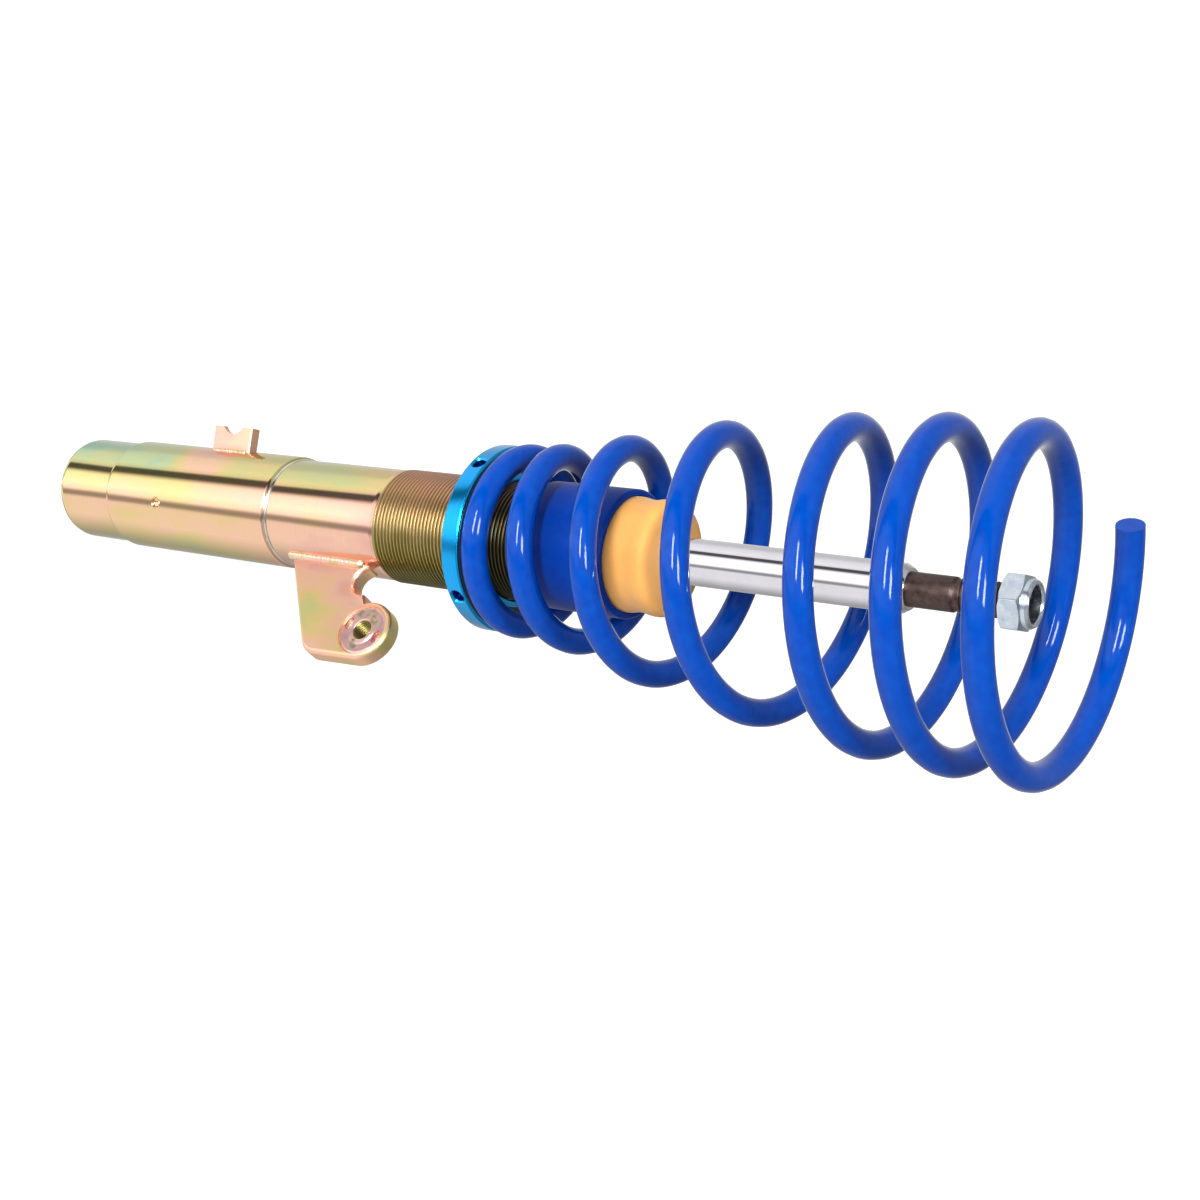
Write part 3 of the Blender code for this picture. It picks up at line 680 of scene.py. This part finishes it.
upper = lathe(rounded([
    (BORE_R, SEAM_Z), (TUBE_R - 0.7, SEAM_Z), (TUBE_R, SEAM_Z + 0.8), (TUBE_R, THREAD_Z - 1.6),
    (THREAD_R - 1.1, THREAD_Z - 0.2), (THREAD_R - 1.1, TUBE_TOP_Z - 0.8),
    (THREAD_R - 1.9, TUBE_TOP_Z), (BORE_R, TUBE_TOP_Z)], 0.4), 224)
piece("upper_tube_fine", upper, "housing", TUBE_ZINC, "yellow_zinc", "threaded_tube")
thread = bmesh.new()
thread_turns = thread_ridge(thread, outer_ridge(THREAD_R, 1.1, THREAD_PITCH), THREAD_Z + 0.3,
                            TUBE_TOP_Z - 1.4, THREAD_PITCH, 96)
piece("collar_thread", thread, "housing", THREAD_ZINC, "yellow_zinc", "threaded_tube")
root = lathe([(THREAD_R - 1.25, THREAD_Z - 0.3), (THREAD_R - 1.03, THREAD_Z - 0.1),
              (THREAD_R - 1.03, TUBE_TOP_Z - 1.0), (THREAD_R - 1.25, TUBE_TOP_Z - 0.9)], 160)
piece("thread_root", root, "housing", THREAD_ZINC, "yellow_zinc", "threaded_tube")
print("thread turns:", thread_turns)


# %% [markdown]
# ## Seam ring
# The two tubes are welded together, and the weld was turned down to a bright
# narrow ring in a shallow groove.

# %% Seam ring
seam = lathe(rounded([(BORE_R + 1.0, SEAM_Z - 1.0), (BODY_R - 1.15, SEAM_Z - 1.0),
                      (BODY_R - 0.85, SEAM_Z - 0.4), (BODY_R - 1.0, SEAM_Z + 0.3),
                      (TUBE_R - 0.3, SEAM_Z + 1.1), (BORE_R + 1.0, SEAM_Z + 1.1)], 0.3), 224)
piece("seam_ring", seam, "housing", MACHINED_SEAM, "yellow_zinc")


# %% [markdown]
# ## Link bracket
# The anti-roll bar's link bolts to this pressed steel bracket.  Its edge is made
# of arcs that run into each other, so it can be moved inwards by any distance.
# Rings of that edge, joined one to the next, give the rolled front edge, the
# plain sides and the hollow back.  A Bevel after a push would do it too, but it
# folds over itself in the tight notch.  The tube's round is cut out last.
# Modelling it flat and swinging it into place is simpler than working at its angle.

# %% Link bracket
LINK_TURN = turn(-26.4, "Z")
LINK_FRONT, LINK_DEPTH, LINK_SHEET = -4.4, 8.0, 3.5
EYE_X, EYE_Z, EYE_R = 58.0, 226.0, 14.8
CORNER, CORNER_R = (62.4, 203.6), 11.2
NOTCH, NOTCH_R = (33.4, 214.8), 7.0
INSIDE_TUBE_X = 20.0
EDGE_ROUND = 2.2


def arc(centre, radius, start, end, steps):
    """Points on an arc from start to end degrees."""
    angles = [math.radians(start + (end - start) * i / steps) for i in range(steps + 1)]
    return [(centre[0] + radius * math.cos(a), centre[1] + radius * math.sin(a)) for a in angles]


def link_outline(inset):
    """The bracket's edge, moved inwards by inset.  The notch is hollow, so its arc grows."""
    return ([(INSIDE_TUBE_X, 159.0 + inset)] + arc(CORNER, CORNER_R - inset, -52, 0, 14)
            + arc((EYE_X, EYE_Z), EYE_R - inset, 3, 205, 56)
            + arc(NOTCH, NOTCH_R + inset, 15, -160, 30) + [(INSIDE_TUBE_X, 213.0 - inset)])


link_back, link_wall = LINK_FRONT + LINK_DEPTH, LINK_SHEET - 0.3
link_rings = []   # inset and depth of each ring, from the front face round to the hollow's floor
for degrees in range(0, 91, 15):
    angle = math.radians(degrees)
    link_rings.append((EDGE_ROUND * (1 - math.sin(angle)),
                       LINK_FRONT + EDGE_ROUND * (1 - math.cos(angle))))
link_rings += [(0.0, link_back), (link_wall, link_back), (link_wall, LINK_FRONT + LINK_SHEET)]
link = bmesh.new()
last = None
for inset, depth in link_rings:
    ring = [link.verts.new((mm(x), mm(depth), mm(z))) for x, z in link_outline(inset)]
    if last is None:
        link.faces.new(ring)
    else:
        for k in range(len(ring)):
            link.faces.new((last[k - 1], last[k], ring[k], ring[k - 1]))
    last = ring
link.faces.new(last)
bmesh.ops.recalc_face_normals(link, faces=link.faces)
bracket = piece("link_bracket_fine", link, "housing", PRESSED_ZINC, "yellow_zinc", "link_bracket",
                place=LINK_TURN)
cut(bracket, drill(TUBE_R - 0.2, 90.0, at(0, 0, 186), 160))

link_eye = LINK_TURN @ at(EYE_X, LINK_FRONT, EYE_Z) @ turn(-90, "X")
cut(bracket, drill(13.0, 2.4, link_eye, 96, 12.2))
cut(bracket, drill(8.2, 12.0, link_eye, 96))
print("bracket faces:", len(bracket.data.polygons))


# %% [markdown]
# ## Weld nut
# A round nut is welded into the bracket's eye.  Its dished face lies in the
# front, its flange and barrel stand behind the sheet, and its bore has a real
# thread.  A slot on each side of the bore goes through the face and the sheet.

# %% Weld nut
NUT_BORE_R, NUT_FACE_R, NUT_FLANGE_R, NUT_BARREL_R = 4.25, 12.3, 11.1, 8.0
NUT_DEPTH = 10.3
nut_outline = rounded([
    (NUT_BORE_R + 0.6, 0.5), (6.6, 0.3), (7.3, 0.9), (11.2, 0.75), (NUT_FACE_R, 1.2),
    (NUT_FACE_R, 1.5), (NUT_BARREL_R, 1.8), (NUT_BARREL_R, 3.7), (NUT_FLANGE_R, 3.7),
    (NUT_FLANGE_R, 6.2), (NUT_BARREL_R, 6.2), (NUT_BARREL_R, NUT_DEPTH),
    (NUT_BORE_R + 0.6, NUT_DEPTH)], 0.3)
weld_nut = piece("link_weld_nut_fine", lathe(nut_outline, 96), "housing", WELD_NUT, "yellow_zinc",
                 "link_weld_nut", place=link_eye)
SLOT_R, SLOT_FROM_AXIS = 1.9, 9.4
slot_stretch = Matrix.Diagonal((1.0, 1.6, 1.0, 1.0))
for side in (103.0, 283.0):
    slot_place = link_eye @ turn(side, "Z") @ at(SLOT_FROM_AXIS, 0.0, 0.6) @ slot_stretch
    for metal in (weld_nut, bracket):
        cut(metal, drill(SLOT_R, 6.0, slot_place, 24))
nut_thread = bmesh.new()
inner_ridge = [(NUT_BORE_R + 0.9, -0.6), (NUT_BORE_R + 0.1, -0.12), (NUT_BORE_R + 0.1, 0.12),
               (NUT_BORE_R + 0.9, 0.6)]
thread_ridge(nut_thread, inner_ridge, 1.2, NUT_DEPTH - 0.3, 1.25, 40)
piece("weld_nut_thread", nut_thread, "housing", THREAD_ZINC, "yellow_zinc", place=link_eye)


# %% [markdown]
# ## Weld beads
# Each bead is a row of frozen ripples.  Its outline is a rod whose radius swells
# and shrinks with every ripple, spun like any turned piece and then laid along
# the joint.

# %% Weld beads
def weld_bead(length, radius, ripple, seed):
    """A rippled rod along Z, thinner at its ends."""
    count = int(length / 0.45)
    outline = [(0.0, 0.0)]
    for step in range(1, count):
        part = step / count
        body = radius * min(1.0, 5.0 * math.sqrt(part * (1.0 - part)))
        wave = ripple * math.sin(2.0 * math.pi * step / 5.0 + 1.7 * math.sin(seed + step * 0.31))
        outline.append((body + wave * min(1.0, 8 * part * (1 - part)), part * length))
    outline.append((0.0, length))
    return lathe(outline, 24, closed=False)


BEAD_BOTTOM, BEAD_TOP = 161.5, 210.0
BEAD_R, BEAD_RIPPLE = 2.5, 0.12
reach = math.sqrt(TUBE_R ** 2 - LINK_FRONT ** 2)
for name, y, shorter in (("link_weld_front", LINK_FRONT - 0.5, 0.0), ("link_weld_back", 4.2, 2.0)):
    bead = weld_bead(BEAD_TOP - BEAD_BOTTOM - shorter, BEAD_R, BEAD_RIPPLE, y)
    piece(name, bead, "housing", WELD_BEAD, "yellow_zinc",
          place=LINK_TURN @ at(reach - 0.1, y, BEAD_BOTTOM))


# %% [markdown]
# ## Brake-line bracket
# A folded tab holds the brake hose.  Its outline across the fold is a shallow
# channel.  It is pushed out from the tube, its edges are softened, and the
# saddle for the hose is cut from its outer edge.

# %% Brake-line bracket
TAB_LOW, TAB_HIGH, TAB_X, TAB_FRONT, TAB_BACK, TAB_SHEET = 92.0, 118.0, -38.5, -9.0, -3.0, 2.5
channel = rounded([
    (TAB_FRONT, TAB_LOW), (TAB_BACK, TAB_LOW), (TAB_BACK, TAB_LOW + TAB_SHEET),
    (TAB_FRONT + TAB_SHEET, TAB_LOW + TAB_SHEET), (TAB_FRONT + TAB_SHEET, TAB_HIGH - TAB_SHEET),
    (TAB_BACK, TAB_HIGH - TAB_SHEET), (TAB_BACK, TAB_HIGH), (TAB_FRONT, TAB_HIGH)], 1.1, 5)
tab = bmesh.new()
foot = tab.faces.new([tab.verts.new((mm(-22.0), mm(y), mm(z))) for y, z in channel])
grown = bmesh.ops.extrude_face_region(tab, geom=[foot])
bmesh.ops.translate(tab, vec=(mm(TAB_X + 22.0), 0.0, 0.0),
                    verts=[v for v in grown["geom"] if isinstance(v, bmesh.types.BMVert)])
bmesh.ops.recalc_face_normals(tab, faces=tab.faces)
line_tab = piece("brake_line_bracket_fine", tab, "housing", PRESSED_ZINC, "yellow_zinc",
                 "brake_line_bracket")
cut(line_tab, drill(BODY_R - 0.2, 60.0, at(0, 0, 105), 160))
tab_middle = 0.5 * (TAB_LOW + TAB_HIGH)
cut(line_tab, drill(8.0, 20.0, at(TAB_X - 4.4, TAB_FRONT, tab_middle) @ turn(90, "X"), 64))
tab_bead = weld_bead(23.0, 1.1, 0.16, 4.0)
piece("tab_weld", tab_bead, "housing", WELD_BEAD, "yellow_zinc",
      place=at(0.1 - math.sqrt(BODY_R ** 2 - TAB_FRONT ** 2), TAB_FRONT - 0.2, TAB_LOW + 1.5))


# %% [markdown]
# ## Adjusting collar
# Screwing the collar round the housing moves the spring's seat.  A pin spanner
# fits the four holes in its rim, which are bored through a chamfer.

# %% Adjusting collar
COLLAR_Z, COLLAR_R, COLLAR_T = 273.8, 42.2, 9.2
HUB_R, HUB_H = 30.3, 13.4
WASHER_T = 1.6
shelf = COLLAR_T - WASHER_T - 0.3
collar = piece("adjuster_collar_fine", lathe(rounded([(r, COLLAR_Z + z) for r, z in (
    (THREAD_R + 0.3, 0.6), (THREAD_R + 1.0, 0.0), (COLLAR_R - 0.9, 0.0), (COLLAR_R, 0.9),
    (COLLAR_R, COLLAR_T - 0.6), (COLLAR_R - 0.6, COLLAR_T), (COLLAR_R - 1.6, COLLAR_T),
    (COLLAR_R - 1.6, shelf), (HUB_R, shelf), (HUB_R, HUB_H - 0.8), (HUB_R - 0.8, HUB_H),
    (THREAD_R + 1.0, HUB_H), (THREAD_R + 0.3, HUB_H - 0.7))], 0.3), 224),
    "collar", CYAN_ANODISED, "cyan_anodised", "adjuster_collar")
pin_holes = [turn(43.5 + 90.0 * quarter, "Z") @ at(COLLAR_R, 0, COLLAR_Z + 5.0) @ turn(90, "Y")
             for quarter in range(4)]
cut(collar, bits([(0.0, -9.0), (3.0, -9.0), (3.0, -0.8), (3.7, 0.0), (3.7, 1.0), (0.0, 1.0)],
                 pin_holes))
back_hole = turn(90, "Z") @ at(COLLAR_R - 0.5, 0, COLLAR_Z + 4.0) @ turn(90, "Y")
cut(collar, drill(2.8, 12.4, back_hole, 32))


# %% [markdown]
# ## Lock screw and seat washer
# A grub screw stops the collar from turning by itself, and a black ring keeps the
# spring's end from wearing the anodised face.

# %% Lock screw and washer
screw = piece("lock_screw_fine", lathe(rounded([(0.0, 0.0), (1.6, 0.0), (2.45, 0.8), (2.45, 5.8),
                                                (2.1, 6.2), (0.0, 6.2)], 0.15, closed=False),
                                       48, closed=False),
              "collar", DARK_STEEL, "dark_steel", "collar_lock_screw",
              place=turn(90, "Z") @ at(COLLAR_R - 6.4, 0, COLLAR_Z + 4.0) @ turn(90, "Y"))
cut(screw, drill(1.45, 5.0, turn(90, "Z") @ at(COLLAR_R - 0.2, 0, COLLAR_Z + 4.0)
                 @ turn(90, "Y"), 6))
piece("seat_washer_fine", lathe(rounded([
    (HUB_R + 0.3, COLLAR_Z + COLLAR_T - WASHER_T), (COLLAR_R - 1.9, COLLAR_Z + COLLAR_T - WASHER_T),
    (COLLAR_R - 1.9, COLLAR_Z + COLLAR_T), (HUB_R + 0.3, COLLAR_Z + COLLAR_T)], 0.3), 160),
    "spring_seat", BLACK_PLASTIC, "black_plastic", "seat_washer")


# %% [markdown]
# ## Spring
# The spring is wound from round wire: narrow coils at its seat, then growing
# wider, with a plain cut end.  Its centre line is a curve through a table of
# turns, heights and radii, smooth in between and never overshooting.  A curve
# with a round bevel is the natural way to draw wire, and its two cut ends are
# bevelled after it has become a mesh.

# %% Spring
WIRE_R = 5.85
SPRING_SHAPE = (   # turns, height, radius to the middle of the wire
    (-0.42, 289.1, 37.6), (0.0, 289.2, 37.7), (1.0, 314.4, 39.7), (2.0, 352.0, 47.3),
    (3.0, 401.5, 56.3), (4.0, 458.3, 62.1), (5.0, 494.1, 63.8), (6.0, 528.9, 63.8),
    (6.6, 541.5, 63.8),
)


def tangents(knots, values):
    """Slopes that keep a curve through the values from overshooting."""
    steps = [b - a for a, b in zip(knots, knots[1:])]
    slopes = [(b - a) / h for a, b, h in zip(values, values[1:], steps)]
    result = [slopes[0]]
    for left, right, before, after in zip(slopes, slopes[1:], steps, steps[1:]):
        if left * right <= 0.0:
            result.append(0.0)
            continue
        first, second = 2.0 * after + before, after + 2.0 * before
        result.append((first + second) / (first / left + second / right))
    return result + [slopes[-1]]


def smooth_value(knots, values, slopes, place):
    """The value at place on the cubic curve through the knots."""
    index = max(0, min(len(knots) - 2, sum(1 for knot in knots[1:] if knot <= place)))
    width = knots[index + 1] - knots[index]
    part = (place - knots[index]) / width
    rest = 1.0 - part
    return (values[index] * (1.0 + 2.0 * part) * rest * rest
            + slopes[index] * width * part * rest * rest
            + values[index + 1] * part * part * (3.0 - 2.0 * part)
            - slopes[index + 1] * width * part * part * rest)


turns, heights, radii = zip(*SPRING_SHAPE)
rise, growth = tangents(turns, heights), tangents(turns, radii)
wire = bpy.data.curves.new("wire", "CURVE")
wire.dimensions = "3D"
wire.bevel_depth = mm(WIRE_R)
wire.bevel_resolution = 6
wire.use_fill_caps = True
line = wire.splines.new("POLY")
WIRE_STEPS = 640
line.points.add(WIRE_STEPS)
for index, point in enumerate(line.points):
    turned = turns[0] + (turns[-1] - turns[0]) * index / WIRE_STEPS
    coil = mm(smooth_value(turns, radii, growth, turned))
    angle = 2.0 * math.pi * turned
    point.co = (coil * math.sin(angle), -coil * math.cos(angle),
                mm(smooth_value(turns, heights, rise, turned)), 1.0)
wire_object = bpy.data.objects.new("wire", wire)
bpy.context.scene.collection.objects.link(wire_object)
spring = bmesh.new()
spring.from_mesh(baked(wire_object))
bpy.data.objects.remove(wire_object)
bmesh.ops.remove_doubles(spring, verts=spring.verts, dist=mm(0.003))
cut_ends = [face for face in spring.faces if len(face.verts) > 8]
bmesh.ops.bevel(spring, geom=[edge for face in cut_ends for edge in face.edges], offset=mm(0.7),
                offset_type="OFFSET", segments=3, profile=0.5, affect="EDGES", material=-1)
bmesh.ops.recalc_face_normals(spring, faces=spring.faces)
main_spring = piece("main_spring_fine", spring, "spring", POWDER_COAT, "blue_powder_coat",
                    "main_spring")
# The rod and the tubes mirror the softboxes' clean bands, and not the coils round them.
main_spring.visible_glossy = False


# %% [markdown]
# ## Sleeve and bump stop
# The foam stop slides on the rod and cushions the end of the stroke.  A thin
# blue sleeve hangs from it over the housing's end.  Both are turned shapes; the
# stop has a soft shoulder and a slight waist.

# %% Sleeve and bump stop
SLEEVE_R, SLEEVE_WALL, SLEEVE_Z, SLEEVE_TOP = 28.2, 0.9, 304.0, 347.7
STOP_R, STOP_Z = 25.2, 326.0
ROD_R = 10.0
sleeve_outline = [
    (SLEEVE_R - SLEEVE_WALL, SLEEVE_Z), (SLEEVE_R, SLEEVE_Z), (SLEEVE_R, SLEEVE_TOP - 1.0),
    (SLEEVE_R - 0.9, SLEEVE_TOP), (STOP_R + 0.3, SLEEVE_TOP),
    (STOP_R + 0.3, SLEEVE_TOP - SLEEVE_WALL), (SLEEVE_R - SLEEVE_WALL, SLEEVE_TOP - 1.4)]
piece("dust_sleeve_fine", lathe(rounded(sleeve_outline, 0.35), 160), "stop", SLEEVE_BLUE,
      "blue_sleeve", "dust_sleeve")
stop_outline = [(r, STOP_Z + z) for r, z in (
    (ROD_R + 0.3, 0.0), (16.0, 0.0), (19.0, 3.0), (19.0, 5.0), (17.0, 8.0), (21.5, 12.0),
    (STOP_R, 15.0), (STOP_R, 22.5), (STOP_R - 0.95, 27.5), (STOP_R - 0.95, 31.0),
    (STOP_R, 35.5), (STOP_R, 39.0), (STOP_R - 1.2, 40.9), (STOP_R - 3.6, 41.6),
    (ROD_R + 1.4, 41.6), (ROD_R + 0.3, 40.4))]
piece("bump_stop_fine", lathe(rounded(stop_outline, 1.6, 6), 160), "stop", YELLOW_FOAM,
      "yellow_foam", "bump_stop")


# %% [markdown]
# ## Piston rod
# The rod is ground and hard-chromed, so it mirrors the softboxes.  Its upper
# stub goes through the top mount: blackened steel with a fine thread and a
# hexagon socket in its end, to hold the rod while the nut is turned.

# %% Piston rod
PISTON_Z, PINTLE_R = 200.0, 5.9
SHOULDER_Z, STUB_R, STUB_TOP = 473.5, 7.0, 519.5
rod_outline = [
    (0.0, PISTON_Z - 12.0), (PINTLE_R - 0.8, PISTON_Z - 12.0), (PINTLE_R, PISTON_Z - 11.2),
    (PINTLE_R, PISTON_Z + 15.3), (ROD_R, PISTON_Z + 15.3), (ROD_R, 278.4), (ROD_R - 0.8, 278.4),
    (ROD_R - 0.8, 280.6), (ROD_R, 280.6), (ROD_R, SHOULDER_Z), (8.3, SHOULDER_Z + 3.0),
    (0.0, SHOULDER_Z + 3.0)]
piece("piston_rod_fine", lathe(rounded(rod_outline, 0.35, closed=False), 128, closed=False),
      "rod", CHROME, "chrome", "piston_rod")
STUB_THREAD_Z = 497.0
stub = piece("rod_stub", lathe(rounded([
    (0.0, SHOULDER_Z + 2.8), (STUB_R, SHOULDER_Z + 2.8), (STUB_R, STUB_THREAD_Z - 2.2),
    (STUB_R - 0.75, STUB_THREAD_Z - 1.2), (STUB_R - 0.75, STUB_TOP - 0.8), (STUB_R - 1.4, STUB_TOP),
    (0.0, STUB_TOP)], 0.25, closed=False), 96, closed=False),
    "rod", BLACK_OXIDE, "dark_steel", "piston_rod")
cut(stub, drill(3.5, 12.0, at(0, 0, STUB_TOP), 6))
stub_thread = bmesh.new()
thread_ridge(stub_thread, outer_ridge(STUB_R, 0.75, 1.5), STUB_THREAD_Z, STUB_TOP - 1.2, 1.5, 48)
piece("rod_stub_thread", stub_thread, "rod", BLACK_OXIDE, "dark_steel")


# %% [markdown]
# ## Top nut
# A self-locking nut holds the top mount.  Its hexagon is the overlap of a
# chamfered turned blank and a six-sided prism, which is how the real chamfers
# come out curved.  The thin collar on its outer end is squeezed to lock it.

# %% Top nut
NUT_Z, NUT_H, NUT_FLATS = 515.5, 11.5, 21.0
corner = NUT_FLATS / math.sqrt(3.0)
hex_top = NUT_H - 3.0
nut = piece("top_nut_fine", lathe(rounded([(r, NUT_Z + z) for r, z in (
    (STUB_R + 0.3, 0.6), (STUB_R + 1.1, 0.0), (corner - 1.3, 0.0), (corner + 0.2, 1.1),
    (corner + 0.2, hex_top - 1.1), (corner - 1.8, hex_top), (9.6, hex_top),
    (9.6, NUT_H - 1.2), (8.9, NUT_H), (STUB_R + 0.9, NUT_H), (STUB_R + 0.3, NUT_H - 0.7))], 0.3), 144),
    "rod", SILVER_ZINC, "silver_zinc", "top_nut")
prism = drill(corner, NUT_H + 6.0, at(0, 0, NUT_Z + NUT_H / 2), 6)
bmesh.ops.bevel(prism, geom=[e for e in prism.edges
                             if abs(e.verts[0].co.z - e.verts[1].co.z) > mm(1)],
                offset=mm(0.35), segments=3, profile=0.5, affect="EDGES", material=-1)
cut(nut, prism, "INTERSECT")
